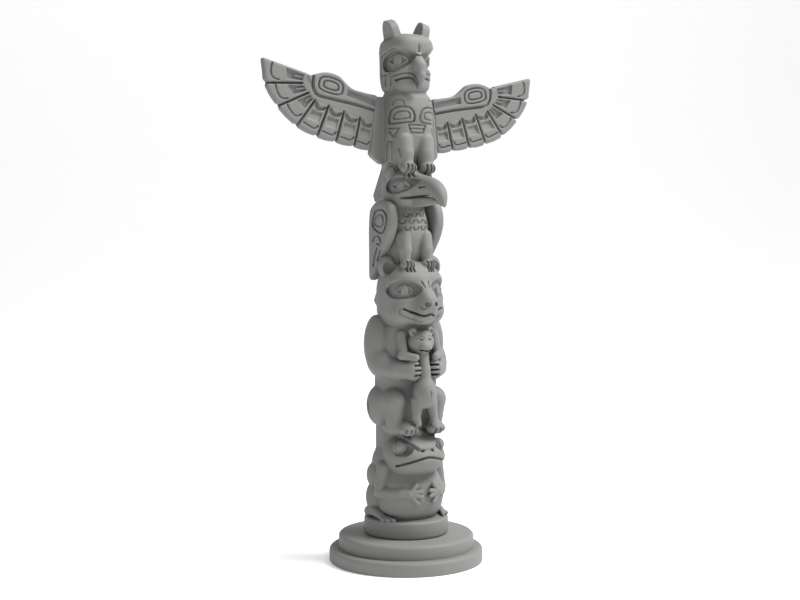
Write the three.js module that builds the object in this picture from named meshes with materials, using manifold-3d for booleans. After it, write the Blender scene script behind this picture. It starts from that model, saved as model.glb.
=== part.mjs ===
// A carved totem pole on a stepped round plinth, cast as a statuette.
// From the plinth up: frog, bear with its cub, raven and thunderbird with
// spread wings. Millimetres, +Z up, the figures face -Y, X is their side.
import * as THREE from 'three';
import { mergeVertices } from 'three/addons/utils/BufferGeometryUtils.js';
import Module from 'manifold-3d';

const wasm = await Module();
wasm.setup();

// ---------------------------------------------------------------- sizes
const PLINTH_RADIUS = 50;
const PLINTH_STEP_RADIUS = 44;
const PLINTH_STEP_HEIGHT = 9;
const PLINTH_EDGE = 2.2;
const GAP = 0.3;

const DRUM_RADIUS = 27.5;
const DRUM_HEIGHT = 11;
const PLINTH_TOP = 2 * PLINTH_STEP_HEIGHT;
const FROG_SEAT = PLINTH_TOP + DRUM_HEIGHT;
const BEAR_SEAT = 84;
const RAVEN_PERCH = 190;
const THUNDERBIRD_PERCH = 250;

const WING_FRONT = 1.5;
const WING_THICKNESS = 4.5;
const ARM_RISE = 0.8;
const GROOVE_WIDTH = 1.2;
const GROOVE_DEPTH = 1;
const SIDES = [-1, 1];
const EASE = 0.25;
const RIGHT_ANGLE = Math.PI / 2;
const END_REACH = 0.95;
const END_SHOULDER = 0.25;

// ------------------------------------------------------------- solids
// Closes a geometry into a solid: shared corners merged, faces without an
// area dropped, and all faces turned outward.
function solid(geometry) {
  geometry.deleteAttribute('normal');
  geometry.deleteAttribute('uv');
  const merged = mergeVertices(geometry, 1e-4);
  const corners = merged.attributes.position;
  const faces = [];
  const [a, b, c] = [0, 1, 2].map(() => new THREE.Vector3());
  let volume = 0;
  for (let i = 0; i < merged.index.count; i += 3) {
    const face = [0, 1, 2].map((k) => merged.index.getX(i + k));
    if (new Set(face).size === 3) {
      faces.push(face);
      [a, b, c].forEach((point, k) => point.fromBufferAttribute(corners, face[k]));
      volume += a.dot(b.cross(c));
    }
  }
  if (volume < 0) {
    faces.forEach((face) => face.reverse());
  }
  return new wasm.Manifold(new wasm.Mesh({
    numProp: 3,
    vertProperties: new Float32Array(corners.array),
    triVerts: new Uint32Array(faces.flat()),
  }));
}

function joined(solids) {
  return solids.reduce((whole, next) => whole.add(next));
}

// The same solid, shifted.
function moved(work, dx, dy, dz) {
  const mesh = work.getMesh();
  const corners = new Float32Array(mesh.vertProperties);
  for (let i = 0; i < corners.length; i += 3) {
    corners[i] += dx;
    corners[i + 1] += dy;
    corners[i + 2] += dz;
  }
  return new wasm.Manifold(new wasm.Mesh({
    numProp: 3, vertProperties: corners, triVerts: mesh.triVerts,
  }));
}

// The same solid on the other side of the pole.
function mirrored(work) {
  const mesh = work.getMesh();
  const corners = mesh.vertProperties.map((value, i) => (i % 3 === 0 ? -value : value));
  return new wasm.Manifold(new wasm.Mesh({
    numProp: 3, vertProperties: corners, triVerts: mesh.triVerts.slice().reverse(),
  }));
}

// The outer skin alone: pockets sealed inside a union are filled.
function filled(work) {
  const { vertProperties, triVerts } = work.getMesh();
  const root = Array.from({ length: vertProperties.length / 3 }, (_, i) => i);
  const find = (i) => {
    while (root[i] !== i) {
      root[i] = root[root[i]];
      i = root[i];
    }
    return i;
  };
  for (let i = 0; i < triVerts.length; i += 3) {
    root[find(triVerts[i])] = find(triVerts[i + 1]);
    root[find(triVerts[i + 1])] = find(triVerts[i + 2]);
  }
  const shells = new Map();
  for (let i = 0; i < triVerts.length; i += 3) {
    const key = find(triVerts[i]);
    if (!shells.has(key)) {
      shells.set(key, []);
    }
    shells.get(key).push(triVerts[i], triVerts[i + 1], triVerts[i + 2]);
  }
  const largest = [...shells.values()].sort((one, two) => two.length - one.length)[0];
  return new wasm.Manifold(new wasm.Mesh({
    numProp: 3, vertProperties, triVerts: new Uint32Array(largest),
  }));
}

// Thins out the facets of a finished solid: a corner slides onto its
// neighbour wherever the surface moves by less than the tolerance, no facet
// turns over and the solid stays closed.
function eased(work, tolerance) {
  const { vertProperties, triVerts } = work.getMesh();
  const corners = Array.from({ length: vertProperties.length / 3 }, (_, i) => (
    new THREE.Vector3().fromArray(vertProperties, 3 * i)
  ));
  const around = corners.map(() => new Set());
  const faces = [];
  for (let i = 0; i < triVerts.length; i += 3) {
    const face = [...triVerts.slice(i, i + 3)];
    face.forEach((corner) => around[corner].add(faces.length));
    faces.push(face);
  }
  const places = new Map();
  const place = (point) => point.toArray().map((value) => value.toFixed(3)).join();
  corners.forEach((point) => places.set(place(point), (places.get(place(point)) || 0) + 1));
  const alone = corners.map((point) => places.get(place(point)) === 1);
  const square = (points) => {
    const [a, b, c] = points;
    return new THREE.Vector3().subVectors(b, a).cross(new THREE.Vector3().subVectors(c, a));
  };
  const neighbours = (corner) => {
    const found = new Set([...around[corner]].flatMap((index) => faces[index]));
    found.delete(corner);
    return found;
  };
  const canSlide = (from, onto, near) => {
    const shared = [...neighbours(onto)].filter((corner) => near.has(corner));
    if (shared.length !== 2 || !alone[from] || !alone[onto]) {
      return false;
    }
    const step = new THREE.Vector3().subVectors(corners[onto], corners[from]);
    return [...around[from]].every((index) => {
      const face = faces[index];
      const before = square(face.map((corner) => corners[corner]));
      const unit = before.clone().normalize();
      if (Math.abs(unit.dot(step)) > tolerance) {
        return false;
      }
      if (face.includes(onto)) {
        return true;
      }
      const points = face.map((corner) => corners[corner === from ? onto : corner]);
      const after = square(points);
      const sides = points.map((point, k) => point.distanceTo(points[(k + 1) % 3]));
      const slender = after.length() / Math.max(...sides) ** 2;
      return slender > 0.02 && after.normalize().dot(unit) > 0.7;
    });
  };
  let changed = true;
  while (changed) {
    changed = false;
    for (let from = 0; from < corners.length; from += 1) {
      const near = neighbours(from);
      const onto = [...near].sort((one, two) => (
        corners[one].distanceTo(corners[from]) - corners[two].distanceTo(corners[from])
      )).find((corner) => canSlide(from, corner, near));
      if (onto !== undefined) {
        changed = true;
        for (const index of around[from]) {
          if (faces[index].includes(onto)) {
            faces[index].forEach((corner) => corner !== from && around[corner].delete(index));
            faces[index] = null;
          } else {
            faces[index] = faces[index].map((corner) => (corner === from ? onto : corner));
            around[onto].add(index);
          }
        }
        around[from] = new Set();
      }
    }
  }
  return new wasm.Manifold(new wasm.Mesh({
    numProp: 3, vertProperties, triVerts: new Uint32Array(faces.filter(Boolean).flat()),
  }));
}

// Sinks the surface inside a tool by an even depth along a direction; the
// tool starts outside the surface and ends within the body.
function sunk(work, tool, direction, depth) {
  const step = direction.clone().multiplyScalar(depth);
  return work.subtract(tool.subtract(moved(work, step.x, step.y, step.z)));
}

// ------------------------------------------------------------- forms
// An egg-shaped mass; tilt turns it about X, Y and Z in degrees.
function ball(centre, radii, tilt = [0, 0, 0], sides = 8) {
  const geometry = new THREE.SphereGeometry(1, sides, Math.round(sides / 2));
  geometry.rotateX(RIGHT_ANGLE);
  geometry.scale(...radii);
  const turns = tilt.map((angle) => THREE.MathUtils.degToRad(angle));
  geometry.applyMatrix4(new THREE.Matrix4().makeRotationFromEuler(new THREE.Euler(...turns)));
  geometry.translate(...centre);
  return solid(geometry);
}

// A round limb that tapers from one end to the other.
function limb(from, fromRadius, to, toRadius, sides = 6) {
  const start = new THREE.Vector3(...from);
  const run = new THREE.Vector3(...to).sub(start);
  const length = run.length();
  const profile = [
    new THREE.Vector2(0, -fromRadius * END_REACH),
    new THREE.Vector2(fromRadius, -fromRadius * END_SHOULDER),
    new THREE.Vector2(toRadius, length + toRadius * END_SHOULDER),
    new THREE.Vector2(0, length + toRadius * END_REACH),
  ];
  const geometry = new THREE.LatheGeometry(profile, sides);
  const up = new THREE.Vector3(0, 1, 0);
  geometry.applyQuaternion(new THREE.Quaternion().setFromUnitVectors(up, run.normalize()));
  geometry.translate(...from);
  return solid(geometry);
}

// A limb through several joints, each [x, y, z, radius].
function chain(joints, sides = 6) {
  const spans = [];
  for (let i = 1; i < joints.length; i += 1) {
    const [from, to] = [joints[i - 1], joints[i]];
    spans.push(limb(from.slice(0, 3), from[3], to.slice(0, 3), to[3], sides));
  }
  return joined(spans);
}

// A mass that swells and narrows with height. Each level is [height, half
// width, front, back]; in plan it is an oval, squarer with more squareness.
function mass(levels, squareness = 2.5, sides = 14) {
  const rings = levels.map(([height]) => new THREE.Vector2(1, height));
  const foot = new THREE.Vector2(0, levels[0][0]);
  const crown = new THREE.Vector2(0, levels[levels.length - 1][0]);
  const geometry = new THREE.LatheGeometry([foot, ...rings, crown], sides);
  geometry.rotateX(RIGHT_ANGLE);
  const corners = geometry.attributes.position;
  for (let i = 0; i < corners.count; i += 1) {
    const height = corners.getZ(i);
    const level = levels.find(([z]) => Math.abs(z - height) < 1e-3);
    const [, half, front, back] = level;
    const reach = Math.hypot(corners.getX(i), corners.getY(i));
    const turn = Math.atan2(corners.getY(i), corners.getX(i));
    const [c, s] = [Math.cos(turn), Math.sin(turn)];
    const oval = (Math.abs(c) ** squareness + Math.abs(s) ** squareness) ** (-1 / squareness);
    corners.setX(i, reach * half * oval * c);
    corners.setY(i, (front + back) / 2 + reach * ((back - front) / 2) * oval * s);
  }
  return solid(geometry);
}

// A slab whose outline is drawn as seen from an azimuth: 0 is the front view
// (across, height), -90 the view of the object's own right side. It runs
// from a near to a far depth along that line of sight.
function slab(outline, azimuth, near, far, bevel = 0) {
  const shape = new THREE.Shape(outline.map(([across, height]) => new THREE.Vector2(across, height)));
  const geometry = new THREE.ExtrudeGeometry(shape, {
    depth: far - near - 2 * bevel,
    bevelEnabled: bevel > 0,
    bevelThickness: bevel,
    bevelSize: bevel,
    bevelOffset: -bevel,
    bevelSegments: 1,
    curveSegments: 1,
  });
  geometry.translate(0, 0, -far + bevel);
  geometry.rotateX(RIGHT_ANGLE);
  geometry.rotateZ(THREE.MathUtils.degToRad(azimuth));
  return solid(geometry);
}

function sight(azimuth) {
  const turn = THREE.MathUtils.degToRad(azimuth);
  return new THREE.Vector3(-Math.sin(turn), Math.cos(turn), 0);
}

// A square-cut slot, such as the parting between two fingers or toes.
function slot(centre, size) {
  const geometry = new THREE.BoxGeometry(...size);
  geometry.translate(...centre);
  return solid(geometry);
}

// ------------------------------------------------------------ outlines
// The totem carver's ovoid: round shoulders above a flatter base.
function ovoid(across, height, width, depth, lean = 0, points = 8) {
  const turn = THREE.MathUtils.degToRad(lean);
  return Array.from({ length: points }, (_, i) => {
    const angle = (2 * Math.PI * i) / points;
    const power = Math.sin(angle) > 0 ? 0.8 : 0.45;
    const x = (width / 2) * Math.sign(Math.cos(angle)) * Math.abs(Math.cos(angle)) ** 0.8;
    const z = (depth / 2) * Math.sign(Math.sin(angle)) * Math.abs(Math.sin(angle)) ** power;
    return [
      across + x * Math.cos(turn) - z * Math.sin(turn),
      height + x * Math.sin(turn) + z * Math.cos(turn),
    ];
  });
}

// The outline of a stroke of even width along a line of points.
function stroke(points, width) {
  const line = points.map(([x, z]) => new THREE.Vector2(x, z));
  const edge = (sign) => line.map((point, i) => {
    const before = line[Math.max(i - 1, 0)];
    const after = line[Math.min(i + 1, line.length - 1)];
    const along = after.clone().sub(before).normalize();
    return [
      point.x - along.y * sign * width / 2,
      point.y + along.x * sign * width / 2,
    ];
  });
  return [...edge(1), ...edge(-1).reverse()];
}

// Flips an outline from one side of the pole to the other.
function sided(outline, side) {
  return outline.map(([across, height]) => [-side * across, height]);
}

// ---------------------------------------------------------------- frog
// Sits on the drum with folded hind legs and its hands on its belly.
function frog() {
  const belly = mass([
    [-1, 17, -17, 13], [5, 21, -21.5, 13.5], [13, 22, -24, 13.5],
    [23, 21, -22.5, 13.5], [31, 18, -17, 13], [38, 16, -13, 13],
  ], 2.3);
  const head = mass([
    [30, 13, -22, 8], [34, 18, -27.5, 10], [42, 20, -29.5, 11],
    [47, 19.5, -27.5, 10.5], [51, 17.5, -21, 9], [54.5, 12, -12, 8],
  ], 2.1, 14);
  const crown = slab([[-13, 54.5], [13, 54.5], [3.5, 46.5], [-3.5, 46.5]], 0, -29, -8);
  const slope = slab([[-34, 44], [-34, 30], [0, 30], [0, 55.5], [-12, 55.5]], 90, -40, 40);
  const forms = [belly, head, crown.intersect(slope)];
  for (const side of SIDES) {
    forms.push(ball([side * 14.5, 3, 34], [8, 9.5, 13.5]));
    forms.push(ball([side * 20.3, 5, 26], [5, 7.5, 8.5]));
    forms.push(ball([side * 20.3, 6, 12], [5.2, 7, 10.5]));
    forms.push(chain([
      [side * 20, -5, 33, 4.6], [side * 22.5, -4.5, 18, 4.4],
      [side * 13, -19, 18, 3.2], [side * 10.5, -21.5, 18, 3.4],
    ]));
    for (const [across, depth, height] of [
      [6, -23.5, 24], [3.2, -24.6, 20], [3.2, -24.6, 15.8], [5.8, -24, 11.5],
    ]) {
      forms.push(limb([side * 10.5, -21.5, 18], 1.6, [side * across, depth, height], 1.2, 4));
    }
    forms.push(limb([side * 22.5, 9, 3], 3.4, [side * 22.5, -7, 2.4], 2.6));
    for (const [across, depth] of [[22.6, -13], [17.5, -17]]) {
      forms.push(limb([side * 22, -7, 1.6], 1.6, [side * across, depth, 1], 1.4, 4));
    }
  }
  let work = joined(forms);
  for (const side of SIDES) {
    work = work.subtract(ball([side * 16, -18.5, 47], [6.5, 5, 5.6]));
    work = work.add(ball([side * 14.3, -16.4, 47.6], [4.4, 4.4, 4.4]));
    work = work.subtract(ball([side * 3, -29.5, 45.6], [0.9, 1.2, 0.9], [0, 0, 0], 6));
  }
  const mouth = [[-17.8, 35.8], [-9, 39.8], [0, 41.2], [9, 39.8], [17.8, 35.8]];
  return sunk(work, slab(stroke(mouth, 1.3), 0, -40, 0), sight(0), 1.8);
}

// ---------------------------------------------------------------- bear
// Sits upright and holds its cub before it.
function bear() {
  const torso = mass([
    [-3, 17, -9, 14], [8, 19, -11, 14], [24, 20.5, -12, 14.5],
    [42, 20.5, -14.5, 14.5], [58, 21, -16, 14], [70, 18, -15, 13],
  ], 2.6);
  const head = mass([
    [69, 11, -18, 8], [73, 17, -21.5, 12], [81, 21, -23, 14], [92, 21.5, -23.5, 14],
    [101, 20, -22.5, 13], [107, 16, -19, 11], [110.5, 10, -13, 7],
  ], 2.5, 14);
  const snout = mass([
    [70.5, 5, -26, -10], [73.5, 7, -29, -10], [78, 7.6, -32, -10],
    [83, 7.3, -34, -10], [88, 6.6, -32.5, -10], [92, 6, -27.5, -10], [97, 5, -24, -10],
  ], 2.4, 8);
  const forms = [torso, head, snout];
  for (const side of SIDES) {
    forms.push(ball([side * 12, -14, 78], [8.5, 9, 8]));
    forms.push(ball([side * 16.5, -4, 107], [6.6, 3, 7]));
    forms.push(ball([side * 20.5, 3, 58], [7, 11, 18]));
    forms.push(ball([side * 20, -1, 46], [7.2, 11, 10.5]));
    forms.push(limb([side * 19.5, -6, 43], 7, [side * 9.5, -20.5, 42], 5.4));
    forms.push(ball([side * 6.6, -23, 42], [4.8, 4.6, 6.9]));
    forms.push(limb([side * 13, -20.5, 50.5], 2.6, [side * 7, -24.5, 49.5], 2.2));
    forms.push(ball([side * 17.3, 3, 17.5], [8.4, 11, 13]));
    forms.push(limb([side * 16.5, 0, 20], 8, [side * 15, -11, 21], 7.4, 7));
    forms.push(limb([side * 15, -11, 19], 6.6, [side * 14.5, -10, 4], 5));
    forms.push(limb([side * 16, -7, 4.4], 4.8, [side * 9.8, -19, 4.6], 4.4));
    forms.push(ball([side * 10, -20, 3.8], [6.2, 5.6, 4]));
  }
  let work = joined(forms);
  for (const side of SIDES) {
    for (const height of [44.8, 42, 39.2]) {
      work = work.subtract(slot([side * 4.4, -27, height], [5, 4.4, 0.9]));
    }
    for (const across of [7.2, 10.2, 13.2]) {
      work = work.subtract(slot([side * across, -25, 1.6], [0.9, 6, 5]));
    }
    work = work.subtract(ball([side * 17, -7.6, 106.5], [4.1, 3, 4.6]));
    const socket = sided(ovoid(-3, 92.5, 16.5, 10.5, 4), side);
    const tool = slab(socket, side * 30, -40, 0);
    work = sunk(work, tool, sight(side * 30), 1.8);
    work = work.add(ball([side * 11.6, -18.2, 93], [5.2, 2.6, 3], [0, 0, side * 30]));
    work = work.subtract(ball([side * 3, -34.2, 84], [1.2, 1.4, 1.1], [0, 0, 0], 6));
    const crease = slab(stroke([[side * -4, 20], [side * -4, 4]], 1.2), side * 90, -30, -10);
    work = sunk(work, crease, sight(side * 90), 1);
  }
  const mouth = [[-14, 80.5], [-8, 78], [-3, 75.8], [0, 76.6], [3, 75.8], [8, 78], [14, 80.5]];
  work = sunk(work, slab(stroke(mouth, 1.3), 0, -40, -8), sight(0), 1.8);
  return work.add(cub());
}

// The cub hangs between the bear's hands, with its feet on the bear's.
function cub() {
  const forms = [
    ball([0, -18.2, 59], [8.8, 7, 7.8]),
    ball([0, -24.6, 56.2], [4.4, 3.4, 3.4]),
    chain([[0, -20, 54, 4], [0, -23, 42, 3.4], [0, -23, 34, 4]]),
    ball([0, -22.5, 27], [7.4, 8, 9.6]),
  ];
  for (const side of SIDES) {
    forms.push(ball([side * 6.2, -19, 66], [2.8, 2, 2.8], [0, 0, 0], 8));
    forms.push(chain([[side * 12, -14, 64, 3.2], [side * 12.5, -17, 53, 3]]));
    forms.push(chain([
      [side * 5, -22, 22, 4.2], [side * 6.2, -23.5, 11, 2.5], [side * 5.6, -25.5, 7.8, 1.9],
    ]));
  }
  return joined(forms);
}

// --------------------------------------------------------------- raven
// Perches on the bear's head with folded wings and a long hooked beak.
function raven() {
  const body = mass([
    [-1, 9, -8, 12], [8, 13, -11, 13], [20, 14.5, -13, 13.5],
    [32, 14, -13, 13.5], [43, 12, -10, 12],
  ], 2.3);
  const head = mass([
    [39.5, 10, -12, 9], [42, 14, -16, 12.5], [48, 15.3, -18.5, 14],
    [56, 15.3, -18.5, 14], [60, 13, -16, 11], [62, 9, -12, 8],
  ], 2.7);
  const beak = chain([
    [0, -14, 51.5, 8.6], [0, -27, 51, 6.2], [0, -35, 49.6, 5], [0, -40.5, 46.5, 4],
    [0, -44, 42.5, 2.9], [0, -46, 38.8, 1.5],
  ], 7);
  const jaw = chain([[0, -12, 43.5, 7], [0, -26, 43, 4], [0, -37, 42, 2.2]]);
  const tail = slab([[-10, 0], [-15, 0], [-28, -22], [-24.5, -25.5], [-10, -10]], -90, -9, 9, 1);
  const wing = [
    [-13, 38], [-8, 42], [6, 42], [13, 37], [14, 12], [14, -5], [12, -8],
    [8, -4], [-2, 7.7], [-10, 18], [-15, 29.5],
  ].map(([depth, height]) => [-depth, height]);
  const forms = [body, head, beak, jaw, tail];
  for (const side of SIDES) {
    const outline = wing.map(([depth, height]) => [-side * -depth, height]);
    forms.push(slab(outline, side * 90, -20.6, -10, 1.4));
    forms.push(ball([side * 12, -3, 60.5], [5.4, 3, 6.6]));
    forms.push(chain([[side * 8, -9, 20, 5.4], [side * 7.8, -12, 5, 3.6]]));
    forms.push(ball([side * 7.4, -15.2, 2], [5, 4.8, 3.2]));
  }
  let work = joined(forms);
  for (const side of SIDES) {
    for (const across of [5.6, 9.2]) {
      work = work.subtract(slot([side * across, -20, 0.6], [1, 5, 4.6]));
    }
    const socket = sided(ovoid(-1, 54, 13.5, 8, -6), side);
    work = sunk(work, slab(socket, side * 45, -40, 0), sight(side * 45), 1.5);
    work = work.add(ball([side * 12.4, -14, 54], [4.2, 2, 2.6], [0, 0, side * 45]));
    const mouth = sided([[-14, 45.2], [-36, 45], [-41, 42.4], [-46, 38]], -side);
    work = sunk(work, slab(stroke(mouth, 1.2), side * 90, -30, 0), sight(side * 90), 1.5);
    const eye = ovoid(side * 2, 26, 11, 14);
    work = sunk(work, slab(eye, side * 90, -24, -17), sight(side * 90), 0.7);
    const quill = slab(stroke([[side * 6, 14], [side * 9, -1]], 1.1), side * 90, -24, -17);
    work = sunk(work, quill, sight(side * 90), 0.7);
  }
  return work;
}

// --------------------------------------------------------- thunderbird
// Crowns the pole: eared head, hooked beak, clawed feet and a tail behind.
function thunderbird() {
  const body = mass([
    [0, 12, -4, 14], [8, 14.5, -9, 14.5], [14, 15.5, -12, 15], [26, 16, -14, 15.5],
    [42, 16, -14.5, 15.5], [49, 14.5, -13, 14], [54, 12, -11, 12], [60, 11, -10, 11],
  ], 3, 12);
  const head = mass([
    [52, 11.5, -12, 12], [55, 13.8, -14, 15], [62, 14.8, -14.6, 16.4], [75, 15, -15, 16.5],
    [79, 15.4, -17, 16.6], [84, 14.8, -16.4, 16], [87, 12, -13, 12], [88.5, 8, -8, 8],
  ], 3.1, 12);
  const beak = chain([
    [0, -12, 71.5, 6.4], [0, -15.8, 67.5, 5.6], [0, -17.6, 61.5, 4], [0, -17.4, 56, 2.6],
    [0, -16, 53, 1.4],
  ], 7);
  const tail = slab([[-11, 6], [-16, 6], [-28, -12.5], [-25.5, -17], [-11, -8]], -90, -9.5, 9.5, 1);
  const root = [
    [-12, 49.5], [-21, 49.3], [-23, 38], [-25.2, 13], [-24, 11], [-17.5, 6.5], [-12, 8],
  ];
  const ear = [[-6, -2], [-6.2, 6], [-4.5, 11], [-0.5, 13.6], [3, 13], [6, 7], [6.2, -2]];
  const forms = [body, head, beak, tail];
  for (const side of SIDES) {
    forms.push(slab(sided(root, side), 0, WING_FRONT, WING_FRONT + WING_THICKNESS + 0.5));
    forms.push(chain([[side * 7.6, -9, 20.5, 6.8], [side * 7.3, -11.6, 8, 5.2]], 7));
    forms.push(ball([side * 7, -15.2, 3.4], [5.2, 5.2, 4]));
    forms.push(earPlate(ear, side));
  }
  let work = joined(forms);
  for (const side of SIDES) {
    for (const across of [5.2, 8.8]) {
      work = work.subtract(slot([side * across, -20, 1.8], [1, 5, 5]));
    }
    const quarter = side * 45;
    const socket = sided(ovoid(-2.5, 73, 19.5, 11.5, -3), side);
    work = sunk(work, slab(socket, quarter, -40, 0), sight(quarter), 1.6);
    work = work.add(ball([side * 12, -9.5, 74], [5.4, 1.9, 3.4], [0, 0, quarter]));
    const lips = sided([[-10, 60], [-4, 61.5], [1.5, 61.5], [3.5, 58], [4.5, 54]], side);
    work = sunk(work, slab(stroke(lips, 1.1), side * 30, -40, 0), sight(side * 30), 1.2);
    const chest = slab(ovoid(side * 8.2, 37.5, 13, 11.5), 0, -30, -5);
    const core = slab(ovoid(side * 8.2, 37.5, 9.6, 8.4), 0, -31, -4);
    work = sunk(work, chest.subtract(core), sight(0), 0.8);
  }
  return work;
}

// An ear is a thick upright slab, leaning outward from the crown.
function earPlate(outline, side) {
  const shape = new THREE.Shape(outline.map(([depth, height]) => new THREE.Vector2(depth, height)));
  const thickness = 6.2;
  const geometry = new THREE.ExtrudeGeometry(shape, {
    depth: thickness - 2,
    bevelEnabled: true,
    bevelThickness: 1,
    bevelSize: 1,
    bevelOffset: -1,
    bevelSegments: 1,
  });
  geometry.translate(0, 0, 1 - thickness / 2);
  geometry.applyMatrix4(new THREE.Matrix4().set(
    0, 0, side, 0,
    1, 0, 0, 0,
    0, 1, 0, 0,
    0, 0, 0, 1,
  ));
  geometry.rotateY(THREE.MathUtils.degToRad(side * 16));
  geometry.translate(side * 9.6, 0, 85);
  return solid(geometry);
}

// --------------------------------------------------------------- wings
// Where each line between two feathers starts at the arm and ends at the
// wing's edge, from the tip to the body, for the wing on the -X side.
const FEATHER_ROOTS = [
  [-69, 311], [-71.8, 304.7], [-67.7, 299.4], [-63.7, 295.3],
  [-54.5, 292.7], [-43.9, 289.5], [-32.4, 286.3], [-22.6, 284],
];
const FEATHER_ENDS = [
  [-99.4, 318.8], [-97, 304.3], [-89, 290], [-77, 279],
  [-63, 273], [-50, 270.3], [-37, 267.8], [-25, 265.4],
];
const ARM = [
  [-69.5, 308.5], [-71.1, 310.1], [-61.5, 311.7], [-53.1, 311.9], [-46.7, 310.2], [-41, 306.1],
  [-36, 302.9], [-21.6, 299.2], [-22.4, 291.2], [-43.9, 295.1], [-62.6, 297.9], [-67.3, 302.6],
];

function between(from, to, share) {
  return [from[0] + (to[0] - from[0]) * share, from[1] + (to[1] - from[1]) * share];
}

// A point on one feather: across runs over its width, along from the arm
// to its end.
function onFeather(feather, across, along) {
  const start = between(FEATHER_ROOTS[feather], FEATHER_ROOTS[feather + 1], across);
  const end = between(FEATHER_ENDS[feather], FEATHER_ENDS[feather + 1], across);
  return between(start, end, along);
}

function wing() {
  const back = WING_FRONT + WING_THICKNESS;
  const inner = [-66, 304];
  const plates = [];
  const count = FEATHER_ENDS.length - 1;
  for (let feather = 0; feather < count; feather += 1) {
    const outline = [
      onFeather(feather, 0, 0),
      onFeather(feather, 0, feather ? 1.05 : 1),
      onFeather(feather, 0.3, feather ? 1.08 : 1.06),
      onFeather(feather, 0.85, 1.07),
      onFeather(feather, 1.03, 0.985),
      onFeather(feather, 1.03, 0),
    ];
    plates.push(slab(outline, 0, WING_FRONT, back));
  }
  const roots = FEATHER_ROOTS.map((root, line) => between(root, FEATHER_ENDS[line], 0.04));
  const fan = [inner, ...roots, [-20, 298], [-40, 303]];
  plates.push(slab(fan, 0, WING_FRONT, back));
  plates.push(slab(ARM, 0, WING_FRONT - ARM_RISE, back));
  let work = joined(plates);
  const cuts = [];
  const cut = (outline, depth, from = WING_FRONT) => {
    cuts.push(slab(outline, 0, from - 3, from + depth));
  };
  for (let line = 1; line < count; line += 1) {
    const [root, end] = [FEATHER_ROOTS[line], FEATHER_ENDS[line]];
    cut(stroke([between(root, end, 0.05), between(root, end, 1.1)], 1), 1);
  }
  const primaries = 3;
  for (let feather = 0; feather < count; feather += 1) {
    if (feather < primaries) {
      cut([
        onFeather(feather, 0.25, 0.08), onFeather(feather, 0.2, 0.5),
        onFeather(feather, 0.72, 0.46), onFeather(feather, 0.78, 0.08),
      ], 1);
    } else {
      cut([
        onFeather(feather, 0.2, 0.12), onFeather(feather, 0.5, 0.26),
        onFeather(feather, 0.85, 0.12), onFeather(feather, 0.5, 0.16),
      ], 1);
      cut([
        onFeather(feather, 0.2, 0.34), onFeather(feather, 0.2, 0.64),
        onFeather(feather, 0.78, 0.64), onFeather(feather, 0.78, 0.34),
      ], 1);
    }
    const hook = [
      onFeather(feather, 0.18, 0.82), onFeather(feather, 0.6, 0.86), onFeather(feather, 0.82, 0.74),
    ];
    cut(stroke(hook, 0.9), 0.6);
  }
  const armFace = WING_FRONT - ARM_RISE;
  cut([[-42.5, 302.2], [-22.6, 297.8], [-22.8, 294.4], [-42, 298.4]], 1.2, armFace);
  const eyeTilt = -12;
  const rings = [[17.5, 10.5], [10.5, 5.5]].map(([width, height]) => {
    const outer = slab(ovoid(-53.9, 304.4, width, height, eyeTilt), 0, -5, armFace + 0.8);
    const core = ovoid(-53.9, 304.4, width - 2.2, height - 2.2, eyeTilt);
    return outer.subtract(slab(core, 0, -6, back));
  });
  work = work.subtract(joined([...cuts, ...rings]));
  const flank = [
    [-10, 310], [-21.3 - GAP, 310], [-21.3 - GAP, 299.3], [-23.3 - GAP, 288],
    [-25.5 - GAP, 262], [-10, 250],
  ];
  return work.subtract(slab(flank, 0, -20, 20));
}

// ---------------------------------------------------- drum and plinth
function disc(radius, bottom, top, edge) {
  const profile = [new THREE.Vector2(0, bottom), new THREE.Vector2(radius, bottom)];
  for (const angle of [0, 45, 90]) {
    const turn = THREE.MathUtils.degToRad(angle);
    profile.push(new THREE.Vector2(
      radius - edge + edge * Math.cos(turn), top - edge + edge * Math.sin(turn),
    ));
  }
  profile.push(new THREE.Vector2(0, top));
  const geometry = new THREE.LatheGeometry(profile, 40);
  geometry.rotateX(RIGHT_ANGLE);
  return solid(geometry);
}

function plinth() {
  const lower = disc(PLINTH_RADIUS, 0, PLINTH_STEP_HEIGHT, PLINTH_EDGE);
  const upper = disc(PLINTH_STEP_RADIUS, PLINTH_STEP_HEIGHT - 1, PLINTH_TOP, PLINTH_EDGE);
  return joined([lower, upper]);
}

// The log that all the figures are carved from, seen between them.
function log() {
  return mass([
    [FROG_SEAT - 2, 18.5, -8, 14.5], [BEAR_SEAT, 19, -8, 14.5], [RAVEN_PERCH - 6, 16, -8, 14],
    [RAVEN_PERCH + 50, 13.5, -6, 13.5], [THUNDERBIRD_PERCH + 48, 12, -6, 14],
  ], 2.6);
}

function pole() {
  return joined([
    disc(DRUM_RADIUS, PLINTH_TOP + GAP, FROG_SEAT, 1.6),
    log(),
    moved(frog(), 0, 0, FROG_SEAT),
    moved(bear(), 0, 0, BEAR_SEAT),
    moved(raven(), 0, 0, RAVEN_PERCH),
    moved(thunderbird(), 0, 0, THUNDERBIRD_PERCH),
  ]);
}

// ------------------------------------------------------------ assembly
function piece(name, work) {
  const mesh = work.getMesh();
  const geometry = new THREE.BufferGeometry();
  geometry.setAttribute('position', new THREE.BufferAttribute(new Float32Array(mesh.vertProperties), 3));
  geometry.setIndex(new THREE.BufferAttribute(new Uint32Array(mesh.triVerts), 1));
  geometry.computeVertexNormals();
  const stone = new THREE.MeshStandardMaterial({ color: 0x6f6f6d, roughness: 0.75, metalness: 0 });
  const part = new THREE.Mesh(geometry, stone);
  part.name = name;
  return part;
}

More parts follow.
